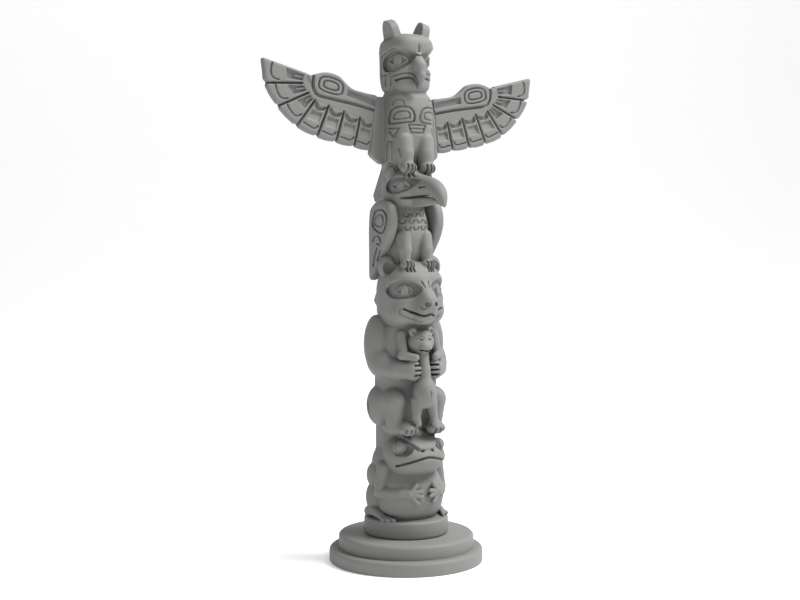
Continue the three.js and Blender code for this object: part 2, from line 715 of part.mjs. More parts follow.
const totem = new THREE.Group();
totem.add(piece('plinth', plinth()));
totem.add(piece('carved_pole', filled(eased(filled(pole()), EASE))));
const rightWing = wing();
totem.add(piece('right_wing', rightWing));
totem.add(piece('left_wing', mirrored(rightWing)));

export default totem;
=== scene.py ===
"""Looks for a cast statuette of a totem pole: frog, bear with cub, raven, thunderbird.

The carving is worked as clay in a block: forms are joined and cut as distances
in millimetres, relief is pressed in along a line of sight, and the skin of the
block becomes the mesh. The figures are the same on both sides, so only one
half is worked and then mirrored. "Out" is the distance from the middle plane.
"""

import math

import bpy
import numpy as np
from mathutils import Matrix, Vector


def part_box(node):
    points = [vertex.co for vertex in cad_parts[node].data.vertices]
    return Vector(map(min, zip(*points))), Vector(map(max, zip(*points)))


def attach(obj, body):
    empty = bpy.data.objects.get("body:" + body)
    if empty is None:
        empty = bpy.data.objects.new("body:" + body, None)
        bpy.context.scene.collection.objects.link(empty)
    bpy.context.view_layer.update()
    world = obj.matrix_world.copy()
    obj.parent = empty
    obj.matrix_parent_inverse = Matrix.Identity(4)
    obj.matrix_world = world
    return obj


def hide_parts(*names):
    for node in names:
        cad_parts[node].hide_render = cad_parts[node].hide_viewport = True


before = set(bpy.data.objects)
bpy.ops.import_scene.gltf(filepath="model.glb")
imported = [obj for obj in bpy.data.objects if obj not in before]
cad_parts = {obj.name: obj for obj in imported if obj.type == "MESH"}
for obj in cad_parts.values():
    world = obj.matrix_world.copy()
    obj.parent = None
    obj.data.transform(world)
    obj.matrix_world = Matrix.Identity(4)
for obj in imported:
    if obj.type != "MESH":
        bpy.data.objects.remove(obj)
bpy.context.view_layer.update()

MM = 0.001
STEP = 0.36
WING_STEP = 0.3
SLAB_DRAWING_STEP = 0.3
RELIEF_DRAWING_STEP = 0.2
MOST_TRIANGLES = 196000

FAR = 30.0                          # stands for "no skin near"
JOIN_REACH, CUT_REACH = 3, 2        # how far past its own box a form is still felt
LEVEL_BLUR = 1.6                    # a mass melts from one level to the next over this height
LEAST_SLOPE = 1 / 40
RELIEF = 1.5                        # all relief depths are multiplied by this
GROOVE_EDGE = 0.2

PLINTH_RADIUS = 50.0
STEP_RADIUS = 44.0
STEP_HEIGHT = 9.0
PLINTH_TOP = 18.0
RIM_ROUND = 2.3
FOOT_ROUND = 0.6
PLINTH_SIDES = 192
DRUM_RADIUS = 27.4
DRUM_GAP = 0.05
FROG_SEAT = 29.0
BEAR_SEAT = 84.0
RAVEN_PERCH = 190.0
THUNDERBIRD_PERCH = 250.0
WING_FRONT = 1.5
WING_BACK = 6.0
WING_RELIEF_END = 3.4               # relief on a wing's front is felt no further back

# The views that drawings are made in, in degrees from the front round to the object's right.
# A drawing's places are (across, height); across runs to the viewer's right, depth runs away.
FRONT, THREE_QUARTER, SIDE = 0, 30, 90


# ---------------------------------------------------------------- drawing
def flowing(points, closed=False, parts=6):
    """A smooth line through the points."""
    line = np.array(points, float)
    count = len(line)
    spans = count if closed else count - 1
    made = []
    for i in range(spans):
        if closed:
            a, b, c, d = (line[(i + k) % count] for k in (-1, 0, 1, 2))
        else:
            a, b, c, d = (line[min(max(i + k, 0), count - 1)] for k in (-1, 0, 1, 2))
        for t in np.arange(parts) / parts:
            made.append(0.5 * (2 * b + (c - a) * t + (2 * a - 5 * b + 4 * c - d) * t**2
                               + (3 * b - a - 3 * c + d) * t**3))
    if not closed:
        made.append(line[-1])
    return np.array(made)


def to_line(points, across, height, closed=False):
    """Distance in the drawing from each place to a line."""
    line = np.asarray(points, float)
    ends = np.roll(line, -1, 0) if closed else line[1:]
    starts = line if closed else line[:-1]
    near = np.full(np.broadcast(across, height).shape, FAR)
    for (ax, az), (bx, bz) in zip(starts, ends):
        run_x, run_z = bx - ax, bz - az
        length = max(run_x**2 + run_z**2, 1e-9)
        t = np.clip(((across - ax) * run_x + (height - az) * run_z) / length, 0, 1)
        near = np.minimum(near, np.hypot(across - ax - t * run_x, height - az - t * run_z))
    return near


def to_outline(points, across, height):
    """Distance to an outline, negative within it."""
    line = np.asarray(points, float)
    within = np.zeros(np.broadcast(across, height).shape, bool)
    for (ax, az), (bx, bz) in zip(line, np.roll(line, -1, 0)):
        if az != bz:
            crossing = ax + (height - az) * (bx - ax) / (bz - az)
            within ^= ((az > height) != (bz > height)) & (across < crossing)
    near = to_line(line, across, height, closed=True)
    return np.where(within, -near, near)


def ovoid(across, height, width, depth, lean=0.0, points=36):
    """The totem carver's ovoid: round shoulders above a flatter base."""
    turn = math.radians(lean)
    made = []
    for i in range(points):
        angle = 2 * math.pi * i / points
        power = 0.8 if math.sin(angle) > 0 else 0.45
        c, s = math.cos(angle), math.sin(angle)
        x = width / 2 * math.copysign(abs(c) ** 0.8, c)
        z = depth / 2 * math.copysign(abs(s) ** power, s)
        made.append((across + x * math.cos(turn) - z * math.sin(turn),
                     height + x * math.sin(turn) + z * math.cos(turn)))
    return made


def soft_min(a, b, blend):
    """The lesser of two distances, with the crease between them rounded."""
    if blend <= 0:
        return np.minimum(a, b)
    share = np.maximum(blend - np.abs(a - b), 0) / blend
    return np.minimum(a, b) - share * share * blend / 4


# ------------------------------------------------------------------ forms
# A form is its low corner, its high corner and its distance at (out, y, z).
def ball(centre, radii, lean=0.0):
    """An egg-shaped form, turned about the upright by its lean."""
    reach = max(radii)
    turn = math.radians(lean)

    def distance(x, y, z):
        x, y, z = x - centre[0], y - centre[1], z - centre[2]
        x, y = x * math.cos(turn) + y * math.sin(turn), y * math.cos(turn) - x * math.sin(turn)
        first = np.sqrt((x / radii[0]) ** 2 + (y / radii[1]) ** 2 + (z / radii[2]) ** 2)
        second = np.sqrt((x / radii[0] ** 2) ** 2 + (y / radii[1] ** 2) ** 2
                         + (z / radii[2] ** 2) ** 2)
        return first * (first - 1) / np.maximum(second, 1e-4)

    place = np.array(centre, float)
    return place - reach, place + reach, distance


def limb(*joints):
    """A round limb through joints, each (out, y, z, radius)."""
    places = np.array(joints, float)

    def distance(x, y, z):
        near = None
        for start, end in zip(places, places[1:]):
            run = end[:3] - start[:3]
            t = np.clip(((x - start[0]) * run[0] + (y - start[1]) * run[1]
                         + (z - start[2]) * run[2]) / (run @ run), 0, 1)
            gap = np.sqrt((x - start[0] - t * run[0]) ** 2 + (y - start[1] - t * run[1]) ** 2
                          + (z - start[2] - t * run[2]) ** 2) - start[3] - t * (end[3] - start[3])
            near = gap if near is None else soft_min(near, gap, 1.0)
        return near

    reach = places[:, 3:].max()
    return places[:, :3].min(0) - reach, places[:, :3].max(0) + reach, distance


def mass(levels, squareness=2.5, rounding=2.5):
    """A mass that swells and narrows; each level is (height, half width, front, back)."""
    table = np.array(levels, float)
    heights = table[:, 0]

    def at(column, z):
        offsets = np.linspace(-LEVEL_BLUR, LEVEL_BLUR, 7)
        return np.mean([np.interp(z + o, heights, table[:, column]) for o in offsets], 0)

    def distance(x, y, z):
        half, front, back = (at(k, z) for k in (1, 2, 3))
        depth, middle = (back - front) / 2, (back + front) / 2
        u, v = np.abs(x) / half, np.abs(y - middle) / depth
        whole = np.maximum((u**squareness + v**squareness) ** (1 / squareness), 1e-3)
        slope = np.hypot((u / whole) ** (squareness - 1) / half,
                         (v / whole) ** (squareness - 1) / depth)
        side = (whole - 1) / np.maximum(slope, LEAST_SLOPE)
        end = np.maximum(heights[0] - z, z - heights[-1]) + 0 * side
        return -soft_min(-side, -end, rounding)

    low = np.array([-table[:, 1].max(), table[:, 2].min(), heights[0]])
    high = np.array([table[:, 1].max(), table[:, 3].max(), heights[-1]])
    return low, high, distance


def slab(outline, view, near, far, rounding=1.2):
    """A slab with an outline drawn in a view, from a near to a far depth."""
    turn = math.radians(view)
    shape = np.array(outline, float)

    def distance(x, y, z):
        across = -x * math.cos(turn) - y * math.sin(turn)
        depth = -x * math.sin(turn) + y * math.cos(turn)
        places = np.arange(across.min(), across.max() + 0.4, SLAB_DRAWING_STEP)
        drawn = to_outline(shape, places[:, None], z.reshape(1, -1))
        at = (across[:, :, 0] - places[0]) / SLAB_DRAWING_STEP
        at = np.clip(at, 0, len(places) - 1.001)
        first = at.astype(int)
        part = (at - first)[..., None]
        flat = drawn[first] * (1 - part) + drawn[first + 1] * part
        thick = np.abs(depth - (near + far) / 2) - (far - near) / 2 + 0 * flat
        return -soft_min(-flat, -thick, rounding)

    corners = [(-a * math.cos(turn) - d * math.sin(turn), -a * math.sin(turn) + d * math.cos(turn))
               for a in (shape[:, 0].min(), shape[:, 0].max()) for d in (near, far)]
    corners = np.array(corners)
    low = np.array([corners[:, 0].min(), corners[:, 1].min(), shape[:, 1].min()])
    high = np.array([corners[:, 0].max(), corners[:, 1].max(), shape[:, 1].max()])
    return low, high, distance


class Clay:
    """A block of clay: the distance to its skin on an even grid, in millimetres."""

    def __init__(self, low, high, step):
        self.step = step
        self.axes = [np.arange(a, b + step, step) for a, b in zip(low, high)]
        self.field = np.full([len(a) for a in self.axes], FAR, np.float32)
        self.lift = 0.0

    def near(self, low, high, pad):
        """The part of the grid within a box and a pad round it, with its places."""
        low = np.array(low, float) + (0, 0, self.lift) - pad
        high = np.array(high, float) + (0, 0, self.lift) + pad
        spans = tuple(slice(np.searchsorted(a, b), np.searchsorted(a, c))
                      for a, b, c in zip(self.axes, low, high))
        x, y, z = (a[s] for a, s in zip(self.axes, spans))
        return spans, x[:, None, None], y[None, :, None], z[None, None, :] - self.lift

    def join(self, form, blend=1.2):
        """Adds a form, melted into what is there."""
        low, high, distance = form
        spans, x, y, z = self.near(low, high, blend + JOIN_REACH)
        if 0 not in self.field[spans].shape:
            self.field[spans] = soft_min(self.field[spans], distance(x, y, z), blend)

    def cut(self, form, blend=0.6):
        """Takes a form away, with a rounded edge."""
        low, high, distance = form
        spans, x, y, z = self.near(low, high, blend + CUT_REACH)
        if 0 not in self.field[spans].shape:
            self.field[spans] = -soft_min(-self.field[spans], distance(x, y, z), blend)

    def press(self, view, depth_at, low, high, far=0):
        """Pushes the skin in by depth_at(across, height), seen along a view, back to a far depth."""
        turn = math.radians(view)
        x, y = self.axes[0][:, None], self.axes[1][None, :]
        across = -x * math.cos(turn) - y * math.sin(turn)
        depth = -x * math.sin(turn) + y * math.cos(turn)
        span = slice(np.searchsorted(self.axes[2], low[1] + self.lift),
                     np.searchsorted(self.axes[2], high[1] + self.lift))
        z = self.axes[2][span] - self.lift
        grid = np.arange(low[0], high[0] + 0.5, RELIEF_DRAWING_STEP)
        table = depth_at(grid[:, None], z[None, :])
        chosen = (across > grid[0]) & (across < grid[-2]) & (depth < far)
        columns = np.nonzero(chosen)
        at = (across[chosen] - grid[0]) / RELIEF_DRAWING_STEP
        first = at.astype(int)
        part = (at - first)[:, None]
        self.field[columns[0], columns[1], span] += (
            table[first] * (1 - part) + table[first + 1] * part)

    def groove(self, view, points, width=1.2, depth=1.0, closed=False, smooth=True, far=0):
        """Cuts a round-bottomed groove along a line; a negative depth raises a bead."""
        line = flowing(points, closed) if smooth else np.array(points, float)
        half = width / 2 + GROOVE_EDGE

        def depth_at(across, height):
            share = np.clip(1 - to_line(line, across, height, closed) / half, 0, 1)
            return RELIEF * depth * (1 - (1 - share) ** 2)

        self.press(view, depth_at, line.min(0) - half, line.max(0) + half, far=far)

    def sink(self, view, outline, depth=1.2, edge=0.7, far=0):
        """Sinks, or with a negative depth raises, all within an outline."""
        shape = np.array(outline, float)

        def depth_at(across, height):
            return RELIEF * depth * np.clip(0.5 - to_outline(shape, across, height) / edge, 0, 1)

        self.press(view, depth_at, shape.min(0) - edge, shape.max(0) + edge, far=far)


# ---------------------------------------------------------------- figures
def carve_eye(clay, socket, eye, iris, corners, sunk=(1.8, 0.8), raised=1.2, line=(0.7, 0.7)):
    """A sunk socket, the eye raised in it, a ring for its iris and its two sunk corners."""
    clay.sink(THREE_QUARTER, flowing(socket, closed=True), *sunk)
    clay.sink(THREE_QUARTER, flowing(eye, closed=True), -raised, 0.8)
    clay.groove(THREE_QUARTER, iris, *line, closed=True)
    for corner in corners:
        clay.sink(THREE_QUARTER, corner, 0.9, 0.6)


def carve_frog(clay):
    clay.lift = FROG_SEAT
    clay.join(mass([(-1, 17, -17, 13), (5, 21, -21.5, 13.5), (13, 22, -24, 13.5),
                    (23, 21, -22.5, 13.5), (31, 18, -17, 13), (38, 16, -13, 13)], 2.2))
    clay.join(mass([(29.5, 14, -20, 9), (34, 18, -27, 10), (37.5, 19.5, -29.3, 11),
                    (42, 20, -29.6, 11), (46, 19, -27.5, 11), (50, 16.5, -21, 9),
                    (54, 11, -12, 8)], 2.2, 3), 0.8)
    clay.join(slab([(-14, 56), (4, 56), (4, 43), (-3.5, 45)], FRONT, -27.5, -6, 0.8), 0.6)
    clay.cut(slab([(31, 42), (30, 46.5), (12, 57), (34, 60), (45, 50)], SIDE, -60, 40, 0.6), 0.8)
    clay.join(ball((14.5, 3, 34), (8, 9.5, 13.5)))
    clay.join(ball((20.3, 5, 27), (5, 7.5, 8.5)), 0.8)
    clay.join(ball((20.3, 6, 12.5), (5.2, 7, 10.5)), 0.8)
    clay.cut(ball((14.6, -20.6, 46.9), (7, 4.6, 5.8), lean=30), 0.8)
    clay.join(ball((13.8, -16.2, 47.4), (4.7, 4.3, 4.7)), 0.4)
    clay.join(limb((20, -5, 33, 4.4), (22.3, -5, 18, 4.2)), 0.8)
    clay.join(limb((22, -5.5, 17.5, 4.3), (14, -18.6, 18, 3.6), (10.5, -22, 18, 3)), 0.8)
    for end in ((6.2, -23.8, 23.5), (3.2, -25, 19.6), (3.2, -25.2, 16), (5.8, -24.6, 11.8)):
        clay.join(limb((10.6, -22.6, 18, 2), (*end, 1.35)), 0.4)
    clay.join(limb((22.5, 9, 3.2, 3.4), (22.6, 2, 4.6, 3.2), (22.3, -7, 2.2, 2.2)), 0.6)
    for end in ((24, -12, 0.9), (21.5, -14.5, 0.9), (18.2, -16.5, 0.9)):
        clay.join(limb((22.2, -6.5, 2, 1.8), (*end, 1.1)), 0.5)
    clay.groove(THREE_QUARTER, [(-6.2, 35.6), (-1, 37.6), (5, 39.4), (11, 41), (15.2, 41.6)], 1.3, 2)
    clay.groove(THREE_QUARTER, [(-7, 48), (-5.5, 51.5), (-2.6, 51.6), (-0.8, 48.6), (-2.4, 45),
                                (-5.6, 44.8)], 0.8, 0.5, closed=True)
    clay.groove(FRONT, [(-4, 45.2), (-3, 46)], 1.3, 1.4)


def carve_bear(clay):
    clay.lift = BEAR_SEAT
    clay.join(mass([(-3, 17, -9, 14), (8, 19, -11, 14), (24, 20.5, -12, 14.5),
                    (42, 20.5, -14.5, 14.5), (58, 21, -16, 14), (70, 18, -15, 13)], 2.6), 0.6)
    clay.join(ball((20.5, 3, 57), (7, 11, 19)))
    clay.join(ball((20, -1, 46.5), (7.2, 11, 10.5)))
    clay.join(limb((19.5, -5, 43, 7), (14.5, -14, 42, 6.3), (9.5, -20.5, 41.5, 5.6)), 2)
    clay.join(ball((7.4, -22.8, 41.6), (4.4, 4.4, 6.6)), 2)
    clay.join(limb((14, -18.5, 51, 3), (7.2, -24.6, 49.8, 2.3)), 0.6)
    clay.join(mass([(69, 17, -15, 12), (73, 19.4, -20.5, 13), (78, 20.8, -22.8, 14),
                    (86, 21.2, -23.4, 14), (93, 21.3, -23.4, 14), (101, 20, -22.5, 13),
                    (107, 15, -18.5, 11), (111, 8, -11, 7)], 2.4, 3), 0.8)
    clay.join(ball((10.8, -13, 78), (8, 8.6, 7.6)), 3)
    clay.join(mass([(70.5, 5, -26, -10), (73.5, 7, -29, -10), (78, 7.6, -32, -10),
                    (83, 7.3, -34, -10), (88, 6.4, -32.8, -10), (93, 5.6, -28, -10),
                    (99, 4.6, -22.5, -10)], 2.4, 3), 3.5)
    clay.join(ball((16.6, -4, 107), (6.6, 3.4, 7.2)), 0.8)
    clay.cut(ball((16.9, -8, 106.3), (4.4, 3.6, 4.8)), 0.6)
    clay.join(ball((17.3, 3, 17.5), (8.6, 11, 13.5)), 0.8)
    clay.join(limb((16.2, 0, 20.5, 8), (14.8, -11, 22, 7.4)), 2)
    clay.join(limb((15, -11, 20, 7), (14.2, -10.5, 5, 5.6)), 1.5)
    clay.join(limb((16, -7, 4.6, 4.6), (9.8, -19, 5.2, 4.2)), 1)
    clay.join(ball((10, -20.2, 3.9), (6.4, 5.8, 4.2)), 1)
    for height in (44.8, 41.7, 38.6):
        clay.groove(FRONT, [(-8.6, height), (-2.2, height)], 1.1, 2.6, far=-18)
    for across in (-13.6, -10.6, -7.6):
        clay.groove(FRONT, [(across, 3.6), (across, -1)], 1.1, 2.6, far=-15)
    clay.groove(SIDE, [(-5.5, 20), (-4, 15), (-4, 5)], 1.5, 1.7)
    carve_bear_face(clay)


def carve_bear_face(clay):
    carve_eye(
        clay,
        socket=[(-12.6, 91.5), (-9.5, 96.3), (-3.5, 98.4), (1.5, 98), (9.3, 93.4), (8, 90.2),
                (3.5, 87.4), (-3.5, 86.6), (-9, 87.6)],
        eye=[(-7, 91.9), (-4, 94.8), (-1, 95.6), (2.2, 94.4), (4.4, 91.6), (1.5, 89.2),
             (-1, 88.6), (-4, 89.4)],
        iris=ovoid(-1.2, 92.1, 5.4, 5.6, points=16),
        corners=([(-6.2, 91.8), (-4.2, 93.8), (-4, 90.4)], [(1.6, 94), (1.6, 90.2), (3.8, 91.6)]),
        sunk=(1.9, 0.9), line=(0.6, 0.6))
    clay.groove(THREE_QUARTER, [(-13, 93.6), (-9.4, 96.8), (-3.4, 98.8), (1.8, 98.4), (9.6, 93.8)],
                0.9, 0.5)
    clay.groove(FRONT, [(-2.4, 97.5), (-1.6, 94)], 0.8, 0.8)
    clay.groove(THREE_QUARTER, [(-1.8, 80.4), (4.2, 78.2), (9.6, 76.6), (12.6, 76.6), (15, 77.6)],
                1.2, 2.2)
    clay.groove(THREE_QUARTER, [(-4, 80.6), (-4.4, 78.4), (-2, 76.8), (4, 74), (10, 72.4)],
                0.8, 0.5)
    clay.groove(FRONT, ovoid(-2.9, 83.6, 1.6, 1.6, points=8), 1.4, 1.3, closed=True)
    clay.groove(THREE_QUARTER, [(9, 82.6), (9.6, 81.4), (11.4, 81), (13, 81.6)], 0.7, 0.7)


def carve_cub(clay):
    clay.lift = BEAR_SEAT
    clay.join(ball((0, -18.4, 59), (9, 7, 7.8)), 0.6)
    clay.join(ball((0, -24.6, 56), (4.4, 3.6, 3.4)), 1.5)
    clay.join(limb((0, -20, 54, 4), (0, -23.4, 42, 3.4), (0, -24, 34, 4.2)), 0.8)
    clay.join(ball((0, -23.5, 27), (7.6, 8, 10)), 1.5)
    clay.join(ball((6.4, -19, 66), (2.8, 2.2, 2.9)), 0.8)
    clay.cut(ball((6.6, -21.2, 65.8), (1.5, 1.4, 1.5)), 0.4)
    clay.join(limb((12, -14, 64, 3.2), (12.5, -17.5, 52, 3)), 0.6)
    clay.join(limb((4.8, -22.5, 22, 4.4), (6.4, -23.8, 12, 2.6), (5.8, -25.4, 8, 2)), 1)
    clay.groove(FRONT, [(-3.4, 61), (-2.8, 61)], 1.3, 1, smooth=False)
    clay.groove(FRONT, [(-5.4, 62), (-3.4, 63.2), (-1.2, 61.8)], 0.8, 0.4)
    clay.groove(FRONT, [(-3.4, 54.6), (0, 53.8)], 0.8, 0.9)
    clay.groove(FRONT, [(-0.1, 28.5), (-0.1, 25.5)], 0.8, 0.5, smooth=False)


def carve_raven(clay):
    clay.lift = RAVEN_PERCH
    clay.join(mass([(-1, 9, -8, 12), (8, 13, -11, 13), (20, 14.5, -13, 13.5),
                    (31, 14, -12.4, 13.5), (36, 12.8, -9.6, 12.5), (43, 10.5, -7, 11)], 2.3), 0.6)
    clay.join(mass([(39.3, 10.5, -13, 9), (41.5, 14, -16, 12.5), (48, 15.3, -18.5, 14),
                    (56, 15.3, -18.5, 14), (60.5, 13, -16, 11), (63, 9, -12, 8)], 2.8, 2), 0.6)
    clay.join(limb(*flowing([(0, -12, 51.5, 8.8), (0, -27, 51.2, 6.5), (0, -35, 49.8, 5.4),
                             (0, -40.3, 46.8, 4.6), (0, -43.6, 42.8, 3.2), (0, -45.6, 39, 1.5)],
                            parts=3)), 2)
    clay.join(limb((0, -12, 44.8, 6), (0, -26, 43.4, 4), (0, -38, 42, 2.2)), 0.8)
    clay.join(slab([(-10, 0), (-15, 0), (-28, -22), (-24.5, -25.5), (-10, -10)], SIDE, -9, 9), 0.6)
    wing = flowing([(13, 38), (8, 42.3), (0, 43.4), (-7, 42), (-13, 37), (-14.6, 25), (-14.4, 10),
                    (-14.2, -5), (-12, -8), (-8.6, -4), (2, 8.5), (10, 18), (14.6, 28)], closed=True)
    clay.join(slab(wing, SIDE, -20.6, -13.6, 3.2), 0.4)
    clay.join(ball((12, -3, 60.5), (5.4, 3.2, 6.8)), 0.8)
    clay.groove(THREE_QUARTER, [(-13.8, 62.4), (-11, 65), (-8, 64.4), (-6, 61.6)], 0.9, 0.7, far=10)
    clay.join(limb((8, -9, 20, 5.2), (7.9, -11.4, 12, 4.6), (7.8, -12.4, 4, 3.2)), 0.8)
    clay.join(ball((7.5, -15, 2.2), (5, 4.8, 3.2)), 1)
    for across in (-5.4, -7.5, -9.6):
        clay.groove(FRONT, [(across, 4), (across, -2)], 1, 2.4, far=-13)
    carve_raven_face(clay)
    carve_raven_plumage(clay)


def carve_raven_face(clay):
    carve_eye(
        clay,
        socket=[(-12.6, 51.5), (-11, 55.6), (-6, 58), (-1, 57.6), (8.4, 55.4), (3, 51),
                (-2, 48.4), (-8, 47.4), (-11.4, 48.6)],
        eye=[(-9.4, 52), (-6, 55.4), (-3.2, 56), (-0.2, 54.8), (3, 52), (-1, 50), (-5.4, 49.8)],
        iris=ovoid(-3.6, 52.9, 4.6, 5, points=16),
        corners=([(-8.6, 51.9), (-6.4, 53.8), (-6.2, 50.8)], [(-1, 54), (-1, 51), (1.6, 52)]),
        sunk=(1.6, 0.8), raised=1, line=(0.6, 0.5))
    clay.groove(SIDE, [(13, 44.6), (20, 45.1), (30, 45.2), (36, 44.8), (41, 42.2), (45.4, 38)],
                1.3, 2.2)
    clay.groove(THREE_QUARTER, [(8.2, 50.8), (11.4, 51.1)], 1, 1.2, smooth=False)


def carve_raven_plumage(clay):
    """Rows of breast feathers, and the rings and quills on the folded wing."""
    for height, first in ((35, 0.0), (30.8, 2.9), (26.3, 0.0)):
        for scale in range(2):
            middle = -(first + 5.8 * scale)
            clay.groove(FRONT, [(middle - 2, height), (middle - 0.9, height - 1.8),
                                (middle + 0.9, height - 1.8), (middle + 2, height)], 0.9, 0.8, far=-6)
    for ring, depth in (([(-21.4, 29.5), (-19.6, 36.3), (-15, 37), (-12.3, 32.1), (-14, 24),
                          (-16.8, 22.6), (-20.6, 25.7)], 0.9),
                        ([(-20, 29.5), (-18.6, 33.6), (-15.8, 34), (-14.4, 30.6), (-15.6, 27),
                          (-19, 27.2)], 0.7)):
        clay.groove(THREE_QUARTER, ring, 0.9, depth, closed=True, far=6)
    clay.groove(THREE_QUARTER, [(-21.4, 17.4), (-20, 20.4), (-17.6, 20.4), (-16.4, 17.2), (-17.2, 15),
                                (-18.6, 15.8)], 0.8, 0.7, far=6)
    clay.groove(THREE_QUARTER, [(-18.7, 12.8), (-20.2, 7), (-21.2, 1.5)], 0.9, 0.8, far=6)
    clay.groove(THREE_QUARTER, [(-16.4, 11.5), (-18.2, 5)], 0.9, 0.7, far=6)


def carve_thunderbird(clay):
    clay.lift = THUNDERBIRD_PERCH
    clay.join(mass([(0, 12, -4, 14), (8, 14.5, -9, 14.5), (14, 15.5, -12, 15), (26, 16, -14, 15.5),
                    (42, 16, -14.5, 15.5), (49, 14.5, -13, 14), (54, 12, -11, 12),
                    (60, 11, -10, 11)], 3), 0.6)
    clay.join(mass([(51.6, 11, -12, 12), (54.5, 13.8, -14, 15), (62, 14.8, -14.6, 16.4),
                    (74, 15, -15.2, 16.5), (77, 15.3, -15.7, 16.6), (80, 15.4, -16.1, 16.6),
                    (84.5, 14.8, -15.6, 16), (87.6, 12, -13, 12), (89.2, 8, -8, 8)], 3.1, 2.2), 0.6)
    clay.join(limb((0, -12, 71.5, 6.2), (0, -15.8, 67.5, 5.4), (0, -17.8, 61.5, 4),
                   (0, -17.6, 56, 2.6), (0, -16, 52.6, 1.4)), 1.2)
    clay.join(slab([(-11, 6), (-16, 6), (-28, -12.5), (-25.5, -17), (-11, -8)], SIDE, -9.5, 9.5), 0.6)
    root = [(-10, 49.5), (-21, 49.3), (-23, 38), (-25.2, 13), (-24, 11), (-17.5, 6.5), (-10, 8)]
    clay.join(slab(root, FRONT, 1.5, 6.5, 1), 1.2)
    clay.join(limb((7.6, -8.5, 21, 6.8), (7.5, -10.6, 13, 6), (7.3, -11.8, 6, 5)), 0.8)
    clay.join(ball((7, -15, 3.6), (5.4, 5.4, 4)), 1)
    for across in (-4.6, -7, -9.4):
        clay.groove(FRONT, [(across, 5.4), (across, -2)], 1, 2.4, far=-13)
    # the face lies back below the brow, and the beak stands out of it
    clay.sink(THREE_QUARTER, [(-30, 72), (-16.4, 74.9), (-13, 77.2), (-9, 78.7), (-3.4, 78.6),
                              (4.2, 75.8), (8.6, 74.2), (20, 76.6), (30, 78), (30, 50),
                              (-30, 50)], 0.45, 0.5)
    carve_thunderbird_ears(clay)
    carve_thunderbird_face(clay)
    carve_thunderbird_breast(clay)


def carve_thunderbird_ears(clay):
    """Thick upright slabs that lean outward, each with a sunk panel on its outer side."""
    lean = math.radians(16)
    shape = flowing([(6, -4), (6.2, 6), (4.5, 11), (0.5, 13.4), (-3, 13), (-6, 7), (-6.2, -4)],
                    closed=True)

    def ear(x, y, z, inset=0.0, thick=6.2, shift=0.0):
        x, z = x - 9.4, z - 85
        x, z = x * math.cos(lean) - z * math.sin(lean), z * math.cos(lean) + x * math.sin(lean)
        outline = to_outline(shape, -y, z) + inset
        return -soft_min(-outline, -(np.abs(x - shift) - thick / 2), 1)

    box = np.array([3, -8, 80]), np.array([18, 8, 99.0])
    clay.join((*box, ear), 0.6)
    clay.cut((*box, lambda x, y, z: ear(x, y, z, 2, 1.4, 3.2)), 0.4)


def carve_thunderbird_face(clay):
    carve_eye(
        clay,
        socket=[(-14.6, 70.4), (-12.8, 75), (-7.2, 78), (-1.5, 77.6), (5.4, 74.4), (2, 69.4),
                (-4, 66), (-12.4, 65.4)],
        eye=[(-11.6, 71.4), (-8.4, 75), (-5, 76.2), (-1.4, 74.8), (1.8, 71.4), (-1.6, 69.2),
             (-5, 68.4), (-8.8, 69)],
        iris=ovoid(-5.4, 72.4, 6, 6.8, points=20),
        corners=([(-10.8, 71.4), (-8.6, 73.6), (-8.4, 70.2)], [(-2.2, 74), (-2.4, 70.4), (1, 71.6)]))
    clay.groove(THREE_QUARTER, [(-16.4, 74.9), (-13, 77.4), (-9, 78.9), (-3.4, 78.8), (4.2, 76),
                                (8.6, 74.4), (15, 76.4)], 0.9, 0.8)
    clay.groove(FRONT, [(-0.1, 81.5), (-0.1, 77)], 0.7, 0.6, smooth=False)
    clay.groove(THREE_QUARTER, [(-15.6, 63.4), (-12, 64), (-5.9, 65.4)], 0.8, 0.6)
    for across in (-13, -9.7):
        clay.groove(THREE_QUARTER, [(across, 63.4), (across - 0.2, 60), (across, 57)], 0.8, 0.6)
    clay.groove(THREE_QUARTER, [(-9, 62), (-1.5, 63.4), (3.4, 63.4), (6.2, 60.6), (7.4, 56)], 0.8, 0.7)
    clay.groove(THREE_QUARTER, [(-6.5, 59.2), (0, 60.6), (3.6, 60.5), (5.6, 58), (7, 54)], 1.2, 1.8)


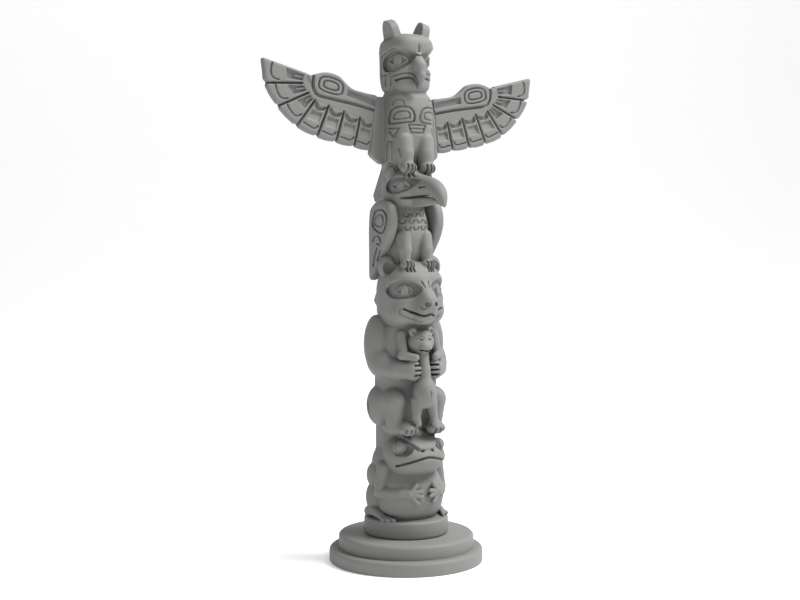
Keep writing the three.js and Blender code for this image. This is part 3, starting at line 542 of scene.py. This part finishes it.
def carve_thunderbird_breast(clay):
    """U forms and ovoids in rows down the breast."""
    outer = flowing([(-10.6, 33), (-10.6, 37), (-8.6, 41.2), (-2.7, 42.4), (2.6, 41.4), (4.9, 38),
                     (5, 34.4), (3.6, 32.8), (-4, 32.2), (-9.4, 31.9)], closed=True)
    inner = flowing([(-7.8, 35), (-6.6, 38.6), (-1, 39.4), (1.8, 38.4), (2.2, 36), (1.6, 35.2),
                     (-3, 34.6)], closed=True)
    clay.groove(THREE_QUARTER, outer, 1.2, 1.1, closed=True, smooth=False)
    clay.groove(THREE_QUARTER, inner, 0.9, 0.8, closed=True, smooth=False)
    clay.groove(THREE_QUARTER, [(-8.8, 43.6), (-8, 46.4), (-5.2, 47), (-2.6, 46.4), (-1.5, 43.6)],
                0.8, 0.6)
    clay.groove(FRONT, [(0, 31), (-6.2, 31), (-4.2, 26), (0, 26)], 1, 0.9, smooth=False)
    clay.groove(FRONT, [(0, 28.6), (-5.4, 28.6)], 0.8, 0.8, smooth=False)
    clay.groove(THREE_QUARTER, [(-10.8, 28.9), (-4.4, 28.9), (-8.1, 23.6), (-10.8, 27)], 0.8, 0.8,
                smooth=False)
    clay.groove(THREE_QUARTER, [(-11.6, 20.7), (-9, 20.7)], 0.8, 0.7, smooth=False)
    clay.groove(THREE_QUARTER, [(-12.3, 20), (-12.3, 9)], 0.8, 0.6, smooth=False)
    clay.groove(THREE_QUARTER, [(-9, 20), (-9, 9)], 0.8, 0.6, smooth=False)
    clay.groove(THREE_QUARTER, [(-4.6, 15.6), (-3.4, 11)], 0.9, 0.7, smooth=False)


def carve_pole():
    """The log, its figures from the foot up, and the drum that they stand on."""
    low_node, high_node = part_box("carved_pole")
    low = [0, low_node.y / MM - 1, PLINTH_TOP - 1]
    high = [high_node.x / MM + 1, high_node.y / MM + 1, high_node.z / MM + 1]
    clay = Clay(low, high, STEP)
    clay.join(mass([(27, 18.5, -8, 14.5), (84, 19, -8, 14.5), (184, 16, -8, 14), (240, 13.5, -6, 13.5),
                    (298, 12, -6, 14)], 2.6), 0)
    carve_frog(clay)
    carve_bear(clay)
    carve_cub(clay)
    carve_raven(clay)
    carve_thunderbird(clay)
    clay.lift = 0.0
    # the figures end at the top of the drum
    below = clay.axes[2] < FROG_SEAT
    clay.field[:, :, below] = np.maximum(clay.field[:, :, below],
                                         FROG_SEAT - 0.5 - clay.axes[2][below])
    drum = [(PLINTH_TOP + DRUM_GAP, DRUM_RADIUS, -DRUM_RADIUS, DRUM_RADIUS),
            (FROG_SEAT, DRUM_RADIUS, -DRUM_RADIUS, DRUM_RADIUS)]
    clay.join(mass(drum, 2, 1.8), 0.3)
    return clay


# ------------------------------------------------------------------ wing
FEATHER_ROOTS = [(-69, 311), (-71.8, 304.7), (-67.7, 299.4), (-63.7, 295.3), (-54.5, 292.7),
                 (-43.9, 289.5), (-32.4, 286.3), (-22.6, 284)]
FEATHER_ENDS = [(-99.4, 318.8), (-97, 303.4), (-88.6, 290), (-76.4, 278.8), (-62.6, 273),
                (-49.6, 270.1), (-36.7, 267.8), (-25, 265.6)]
FEATHERS = len(FEATHER_ENDS) - 1
PRIMARIES = 3


def feather_edge(edge, along):
    """A place on the line between two feathers, along from the arm to the tip."""
    root, end = np.array(FEATHER_ROOTS[edge]), np.array(FEATHER_ENDS[edge])
    return tuple(root * (1 - along) + end * along)


def on_feather(feather, places):
    """Places on a feather, each given across its width and along from the arm to its tip."""
    made = []
    for across, along in places:
        first, second = (np.array(feather_edge(feather + k, along)) for k in (0, 1))
        made.append(tuple(first * (1 - across) + second * across))
    return made


def primary_relief(clay, feather):
    """A long sunk panel with a raised quill, and a hook at the tip."""
    panel = on_feather(feather, [(0.28, 0.08), (0.18, 0.48), (0.74, 0.46), (0.74, 0.08)])
    clay.sink(FRONT, panel, 1.3, 0.8, far=WING_RELIEF_END)
    clay.groove(FRONT, on_feather(feather, [(0.5, 0.08), (0.46, 0.3)]), 1, -1.1, smooth=False,
                far=WING_RELIEF_END)
    hook = [(0.12, 0.8), (0.3, 0.84), (0.62, 0.86), (0.78, 0.8), (0.84, 0.68)]
    clay.groove(FRONT, on_feather(feather, hook), 0.8, 0.9, far=WING_RELIEF_END)


def secondary_relief(clay, feather):
    """A sunk crescent, a pocket that fades towards the tip, and a hook below it."""
    crescent = [(0.16, 0.08), (0.5, 0.2), (0.86, 0.12), (0.8, 0.25), (0.5, 0.3), (0.2, 0.23)]
    clay.sink(FRONT, flowing(on_feather(feather, crescent), closed=True), 1.3, 0.8,
              far=WING_RELIEF_END)
    pocket = np.array(on_feather(feather, [(0.2, 0.36), (0.2, 0.66), (0.8, 0.66), (0.8, 0.36)]))
    top, foot = pocket[:, 1].max(), pocket[:, 1].min()

    def fading(across, height):
        inside = np.clip(0.5 - to_outline(pocket, across, height) / 0.8, 0, 1)
        return 1.6 * inside * np.clip((height - foot) / (top - foot) + 0.15, 0, 1)

    corners = np.array(on_feather(feather, [(a, b) for a in (0.1, 0.9) for b in (0.3, 0.72)]))
    clay.press(FRONT, fading, corners.min(0), corners.max(0), far=WING_RELIEF_END)
    hook = [(0.16, 0.84), (0.45, 0.86), (0.74, 0.86), (0.86, 0.74)]
    clay.groove(FRONT, on_feather(feather, hook), 0.8, 0.9, far=WING_RELIEF_END)


def wing_form(clay):
    """The feathers, the web that joins them behind, and the arm above them."""
    for feather in range(FEATHERS):
        leading = [(-0.02, 0), (0, 1.0), (0.14, 1.06), (0.5, 1.075)]
        if feather == 0:
            leading = [(0, 0), (0, 0.97), (0.06, 1.02), (0.16, 1.03), (0.5, 1.035)]
        outline = on_feather(feather, leading + [(0.86, 1.05), (1.02, 0.97), (1.04, 0)])
        clay.join(slab(outline, FRONT, WING_FRONT, WING_BACK, 2.2), 0.1)
    tips = [feather_edge(edge, 0.98) for edge in range(FEATHERS + 1)]
    web = [(-66, 304), *on_feather(0, [(0.5, 0.2)]), *tips, (-20, 290)]
    clay.join(slab(web, FRONT, WING_FRONT + 1.4, WING_BACK - 0.2, 0.5), 0.1)
    roots = [feather_edge(edge, 0.06) for edge in range(FEATHERS + 1)]
    fan = [(-66, 304), *roots, (-20, 298), (-40, 303)]
    clay.join(slab(fan, FRONT, WING_FRONT, WING_BACK, 1), 0.1)
    arm = flowing([(-70, 309.6), (-66.5, 309.9), (-62.5, 311.2), (-57.8, 312.2), (-53, 312),
                   (-48, 310.6), (-44.8, 308.2), (-41, 304.9), (-36.6, 302.6), (-28, 300.9),
                   (-20, 299), (-20, 290.5), (-36.6, 293.9), (-54.2, 296.6), (-60, 297.4),
                   (-63.4, 298.9), (-65.4, 302)], closed=True)
    clay.join(slab(arm, FRONT, WING_FRONT - 0.8, WING_BACK, 1.4), 0.2)


def carve_wing():
    """One wing, drawn as the one on the object's right, where across is X."""
    low_node, high_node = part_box("right_wing")
    clay = Clay([-high_node.x / MM - 4, low_node.y / MM - 1, low_node.z / MM - 1],
                [-low_node.x / MM + 1, high_node.y / MM + 1, high_node.z / MM + 1], WING_STEP)
    wing_form(clay)
    for edge in range(1, FEATHERS):
        clay.groove(FRONT, [feather_edge(edge, 0.05), feather_edge(edge, 1.1)], 1, 1.5,
                    smooth=False, far=5)
    clay.groove(FRONT, [(-65.7, 309.2), (-66.2, 305), (-65.7, 301.9), (-63.7, 298.6), (-60, 297.2),
                        (-54.2, 296.2), (-36.6, 293.4), (-21, 290.2)], 1.5, 1.6,
                far=WING_RELIEF_END)
    for feather in range(FEATHERS):
        relief = primary_relief if feather < PRIMARIES else secondary_relief
        relief(clay, feather)
    for width, height in ((17, 9.6), (10.4, 5)):
        clay.groove(FRONT, ovoid(-53.6, 304.2, width, height, -12), 0.9, 1.1, closed=True,
                    smooth=False, far=WING_RELIEF_END)
    clay.sink(FRONT, [(-41.6, 302.1), (-22.4, 297.3), (-22.4, 293.3), (-42.4, 298.2)], 1.2, 0.8,
              far=WING_RELIEF_END)
    # the clear line where the wing meets the flank
    clay.cut(slab([(-20.9, 330), (-20.9, 299.3), (-22.9, 288), (-25.1, 262), (-10, 250), (-10, 330)],
                  FRONT, -20, 20, 0.2), 0.2)
    return clay


# ------------------------------------------------------------------ mesh
CORNERS = np.array([(i, j, k) for i in (0, 1) for j in (0, 1) for k in (0, 1)])


def skin(field, origin, step):
    """The surface where the field is zero, as corner places and four-sided faces."""
    inside = field < 0
    size = tuple(n - 1 for n in field.shape)
    count = np.zeros(size, np.int8)
    for i, j, k in CORNERS:
        count += inside[i:i + size[0], j:j + size[1], k:k + size[2]]
    cells = np.argwhere((count > 0) & (count < 8))
    number = np.full(size, -1, np.int64)
    number[tuple(cells.T)] = np.arange(len(cells))
    values = [field[tuple((cells + c).T)] for c in CORNERS]
    total, crossings = np.zeros((len(cells), 3)), np.zeros(len(cells))
    for a in range(8):
        for b in range(a + 1, 8):
            if np.abs(CORNERS[a] - CORNERS[b]).sum() == 1:
                crossed = (values[a] < 0) != (values[b] < 0)
                t = np.where(crossed, values[a] / np.where(crossed, values[a] - values[b], 1), 0)
                place = CORNERS[a] + t[:, None] * (CORNERS[b] - CORNERS[a])
                total += place * crossed[:, None]
                crossings += crossed
    places = (cells + total / crossings[:, None]) * step + origin
    faces = []
    for axis in range(3):
        first, second = [(1, 2), (2, 0), (0, 1)][axis]
        ahead = np.eye(3, dtype=int)[axis]
        here = inside[tuple(slice(0, n - ahead[k]) for k, n in enumerate(inside.shape))]
        there = inside[tuple(slice(ahead[k], None) for k in range(3))]
        for leaving in (True, False):
            edges = np.argwhere((here & ~there) if leaving else (~here & there))
            around = []
            for da, db in ((0, 0), (-1, 0), (-1, -1), (0, -1)):
                cell = edges.copy()
                cell[:, first] += da
                cell[:, second] += db
                around.append(number[tuple(cell.T)])
            quad = np.stack(around, 1)
            faces.append(quad if leaving else quad[:, ::-1])
    return places, np.concatenate(faces)


def mesh_piece(name, places, faces):
    """A piece from places in millimetres and four-sided faces."""
    mesh = bpy.data.meshes.new(name)
    mesh.vertices.add(len(places))
    mesh.vertices.foreach_set("co", (places * MM).astype(np.float32).ravel())
    mesh.loops.add(faces.size)
    mesh.loops.foreach_set("vertex_index", faces.ravel().astype(np.int32))
    mesh.polygons.add(len(faces))
    mesh.polygons.foreach_set("loop_start", np.arange(0, faces.size, faces.shape[1], dtype=np.int32))
    mesh.update(calc_edges=True)
    mesh.validate()
    piece = bpy.data.objects.new(name, mesh)
    bpy.context.scene.collection.objects.link(piece)
    return piece


def thinned(piece, most):
    """Merges small facets until the piece has at most so many triangles."""
    triangles = sum(len(p.vertices) - 2 for p in piece.data.polygons)
    if triangles > most:
        modifier = piece.modifiers.new("thin", "DECIMATE")
        modifier.ratio = most / triangles
        bpy.context.view_layer.update()
        shown = piece.evaluated_get(bpy.context.evaluated_depsgraph_get())
        done = bpy.data.meshes.new_from_object(shown)
        piece.modifiers.clear()
        piece.data = done
    piece.data.polygons.foreach_set("use_smooth", np.ones(len(piece.data.polygons), bool))
    return piece


def pole_piece():
    """The pole's half and its mirror image, in one skin."""
    clay = carve_pole()
    both = np.concatenate([clay.field[:0:-1], clay.field])
    origin = np.array([-clay.axes[0][-1], clay.axes[1][0], clay.axes[2][0]])
    return thinned(mesh_piece("totem_carving", *skin(both, origin, STEP)), MOST_TRIANGLES)


def wing_pieces():
    """The left wing, and the right one as its mirror image."""
    clay = carve_wing()
    places, faces = skin(clay.field, np.array([axis[0] for axis in clay.axes]), WING_STEP)
    left = mesh_piece("left_wing_carving", places, faces)
    right = mesh_piece("right_wing_carving", places * (-1, 1, 1), faces[:, ::-1])
    return thinned(left, MOST_TRIANGLES), thinned(right, MOST_TRIANGLES)


def turned_plinth():
    """Two round steps with softly rounded rims, turned about the upright."""
    rings = []

    def round_off(radius, height, size, turns):
        for turn in turns:
            rings.append((radius - size + size * math.cos(math.radians(turn)),
                          height + size * math.sin(math.radians(turn))))

    round_off(PLINTH_RADIUS, FOOT_ROUND, FOOT_ROUND, np.linspace(-90, 0, 4))
    round_off(PLINTH_RADIUS, STEP_HEIGHT - RIM_ROUND, RIM_ROUND, np.linspace(0, 90, 9))
    rings.append((STEP_RADIUS, STEP_HEIGHT))
    round_off(STEP_RADIUS, PLINTH_TOP - RIM_ROUND, RIM_ROUND, np.linspace(0, 90, 9))

    angles = np.arange(PLINTH_SIDES) * 2 * math.pi / PLINTH_SIDES
    places = [(r * math.cos(a), r * math.sin(a), z) for r, z in rings for a in angles]
    under, over = len(places), len(places) + 1
    places += [(0, 0, 0), (0, 0, PLINTH_TOP)]
    last = under - PLINTH_SIDES
    around = [(k, (k + 1) % PLINTH_SIDES) for k in range(PLINTH_SIDES)]
    faces = [(ring + k, ring + n, ring + PLINTH_SIDES + n, ring + PLINTH_SIDES + k)
             for ring in range(0, last, PLINTH_SIDES) for k, n in around]
    faces += [(n, k, under) for k, n in around]
    faces += [(last + k, last + n, over) for k, n in around]
    mesh = bpy.data.meshes.new("plinth_steps")
    mesh.from_pydata([tuple(c * MM for c in place) for place in places], [], faces)
    mesh.update()
    mesh.shade_smooth()
    mesh.set_sharp_from_angle(angle=math.radians(40))
    piece = bpy.data.objects.new("plinth_steps", mesh)
    bpy.context.scene.collection.objects.link(piece)
    return piece


# -------------------------------------------------------------- materials
class Socket:
    """A node's output with sums written as plain arithmetic."""

    def __init__(self, shop, socket):
        self.shop, self.socket = shop, socket

    def _sum(self, operation, *values):
        return self.shop.add("ShaderNodeMath", {"operation": operation},
                             dict(enumerate(values)))

    def __add__(self, other):
        return self._sum("ADD", self, other)

    def __sub__(self, other):
        return self._sum("SUBTRACT", self, other)

    def __rsub__(self, other):
        return self._sum("SUBTRACT", other, self)

    def __mul__(self, other):
        return self._sum("MULTIPLY", self, other)

    __radd__, __rmul__ = __add__, __mul__


class Shop:
    """Makes the nodes of one material."""

    def __init__(self, name):
        self.material = bpy.data.materials.new(name)
        self.material.use_nodes = True
        self.tree = self.material.node_tree
        self.surface = self.tree.nodes["Principled BSDF"]

    def add(self, kind, settings=None, inputs=None, output=0):
        node = self.tree.nodes.new(kind)
        for key, value in (settings or {}).items():
            setattr(node, key, value)
        for key, value in (inputs or {}).items():
            self.feed(node.inputs[key], value)
        return Socket(self, node.outputs[output])

    def feed(self, target, value):
        if isinstance(value, Socket):
            self.tree.links.new(value.socket, target)
        else:
            target.default_value = value


TONE = (0.165, 0.165, 0.16)
DARKEST, LIGHTEST = 0.78, 1.22
MOTTLE_SIZE, PATCH_SIZE, GRAIN_SIZE = 90.0, 25.0, 1400.0
MOTTLE_SHADE, PATCH_SHADE = 0.12, 0.1
ROUGHNESS = 0.66
SHINE = 0.35
GRAIN_HEIGHT = 0.0002


def cast_resin(name, tone, wear_and_shade_strength=0.16, grain=0.1):
    """Matte stone-filled resin: faint mottling, fine grain, edges lighter as rubbed wear, hollows
    darker as painted shade.
    """
    shop = Shop(name)
    place = shop.add("ShaderNodeTexCoord", output="Object")

    def noise(scale, detail):
        return shop.add("ShaderNodeTexNoise", {}, {"Vector": place, "Scale": scale, "Detail": detail})

    mottle, patches, fine = noise(MOTTLE_SIZE, 3.0), noise(PATCH_SIZE, 2.0), noise(GRAIN_SIZE, 2.0)
    # Pointiness lightens sharp edges as rubbed wear and darkens hollows and creases with painted shade.
    edge = shop.add("ShaderNodeNewGeometry", output="Pointiness")
    wear_and_painted_hollow_shade = shop.add("ShaderNodeMapRange", {}, {"Value": edge, "From Min": 0.44, "From Max": 0.58,
                                              "To Min": -1.0, "To Max": 1.0})
    # The darkening of hollows in this colour is painted shade; the lightening of edges is wear.
    shade = wear_and_painted_hollow_shade * wear_and_shade_strength + (mottle - 0.5) * MOTTLE_SHADE + (patches - 0.5) * PATCH_SHADE + 0.5
    dark = tuple(c * DARKEST for c in tone) + (1.0,)
    light = tuple(c * LIGHTEST for c in tone) + (1.0,)
    colour = shop.add("ShaderNodeMix", {"data_type": "RGBA"}, {0: shade, 6: dark, 7: light}, output=2)
    shop.feed(shop.surface.inputs["Base Color"], colour)
    shop.feed(shop.surface.inputs["Roughness"], ROUGHNESS + (mottle - 0.5) * 0.12 - wear_and_painted_hollow_shade * 0.03)
    shop.surface.inputs["Specular IOR Level"].default_value = SHINE
    bump = shop.add("ShaderNodeBump", {}, {"Strength": grain, "Distance": GRAIN_HEIGHT, "Height": fine})
    shop.feed(shop.surface.inputs["Normal"], bump)
    return shop.material


pole = pole_piece()
left, right = wing_pieces()
plinth = turned_plinth()
carving_finish = cast_resin("cast grey resin", TONE)
# The plinth gets fainter edge wear and fainter painted shade in its hollows.
plinth_finish = cast_resin("turned grey resin", tuple(c * 1.06 for c in TONE), wear_and_shade_strength=0.08, grain=0.07)

for piece, node, slot, finish in (
    (pole, "carved_pole", "cast_grey", carving_finish),
    (left, "left_wing", "cast_grey", carving_finish),
    (right, "right_wing", "cast_grey", carving_finish),
    (plinth, "plinth", "plinth_grey", plinth_finish),
):
    piece.data.materials.clear()
    piece.data.materials.append(finish)
    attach(piece, "root")
    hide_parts(node)


# ------------------------------------------------------------------ stage
FLOOR_FRONT, FLOOR_BACK, FLOOR_HALF = -3.0, 2.2, 6
WALL_BEND, WALL_TOP = 1.2, 5.0
FLOOR_GLOW = 0.24
ROOM_LIGHT = 0.5

CAMERA_TURN = math.radians(-30)
CAMERA_RISE = math.radians(2.441)
CAMERA_DISTANCE = 0.82561
CAMERA_ASIDE = -0.00399
CAMERA_LENS = 57.28
AIM_HEIGHT = 0.16915


def backdrop():
    """A pale floor that curves up far behind the object."""
    bend = np.linspace(0.1, math.pi / 2, 14)
    line = [(FLOOR_FRONT, 0.0), (FLOOR_BACK, 0.0)]
    line += [(FLOOR_BACK + WALL_BEND * math.sin(t), WALL_BEND - WALL_BEND * math.cos(t)) for t in bend]
    line.append((FLOOR_BACK + WALL_BEND, WALL_TOP))
    turn = Matrix.Rotation(CAMERA_TURN, 4, "Z")
    places = [turn @ Vector((x, y, z)) for y, z in line for x in (-FLOOR_HALF, FLOOR_HALF)]
    faces = [(2 * i, 2 * i + 1, 2 * i + 3, 2 * i + 2) for i in range(len(line) - 1)]
    mesh = bpy.data.meshes.new("floor")
    mesh.from_pydata(places, [], faces)
    mesh.shade_smooth()
    floor = bpy.data.objects.new("floor", mesh)
    bpy.context.scene.collection.objects.link(floor)
    shop = Shop("pale paper")
    shop.surface.inputs["Base Color"].default_value = (0.93, 0.93, 0.93, 1)
    shop.surface.inputs["Roughness"].default_value = 0.9
    shop.surface.inputs["Emission Color"].default_value = (1, 1, 1, 1)
    shop.surface.inputs["Emission Strength"].default_value = FLOOR_GLOW
    mesh.materials.append(shop.material)


def softbox(name, place, aim, size, power):
    """A square soft light at a place, turned to what it aims at."""
    light = bpy.data.lights.new(name, "AREA")
    light.shape, light.size, light.size_y = "RECTANGLE", size, size
    light.energy = power
    lamp = bpy.data.objects.new(name, light)
    bpy.context.scene.collection.objects.link(lamp)
    lamp.location = place
    lamp.rotation_mode = "QUATERNION"
    lamp.rotation_quaternion = (Vector(aim) - Vector(place)).to_track_quat("-Z", "Y")


def room_light():
    """Even white light from all round."""
    world = bpy.data.worlds.new("studio")
    world.use_nodes = True
    background = world.node_tree.nodes["Background"]
    background.inputs["Color"].default_value = (1, 1, 1, 1)
    background.inputs["Strength"].default_value = ROOM_LIGHT
    bpy.context.scene.world = world
    bpy.context.scene.view_settings.view_transform = "Standard"


def aim_camera():
    """The camera, ahead and to the object's right, a little above its middle."""
    camera = bpy.data.objects.new("camera", bpy.data.cameras.new("camera"))
    bpy.context.scene.collection.objects.link(camera)
    bpy.context.scene.camera = camera
    camera.data.lens = CAMERA_LENS
    camera.data.clip_start = 0.01
    back = Vector((math.sin(CAMERA_TURN) * math.cos(CAMERA_RISE),
                   -math.cos(CAMERA_TURN) * math.cos(CAMERA_RISE), math.sin(CAMERA_RISE)))
    aside = Vector((math.cos(CAMERA_TURN), math.sin(CAMERA_TURN), 0))
    camera.location = Vector((0, 0, AIM_HEIGHT)) + back * CAMERA_DISTANCE + aside * CAMERA_ASIDE
    camera.rotation_mode = "QUATERNION"
    camera.rotation_quaternion = (-back).to_track_quat("-Z", "Y")


backdrop()
room_light()
softbox("key", (0.84, -0.6, 1.65), (0, 0, 0.15), 0.8, 56)
aim_camera()
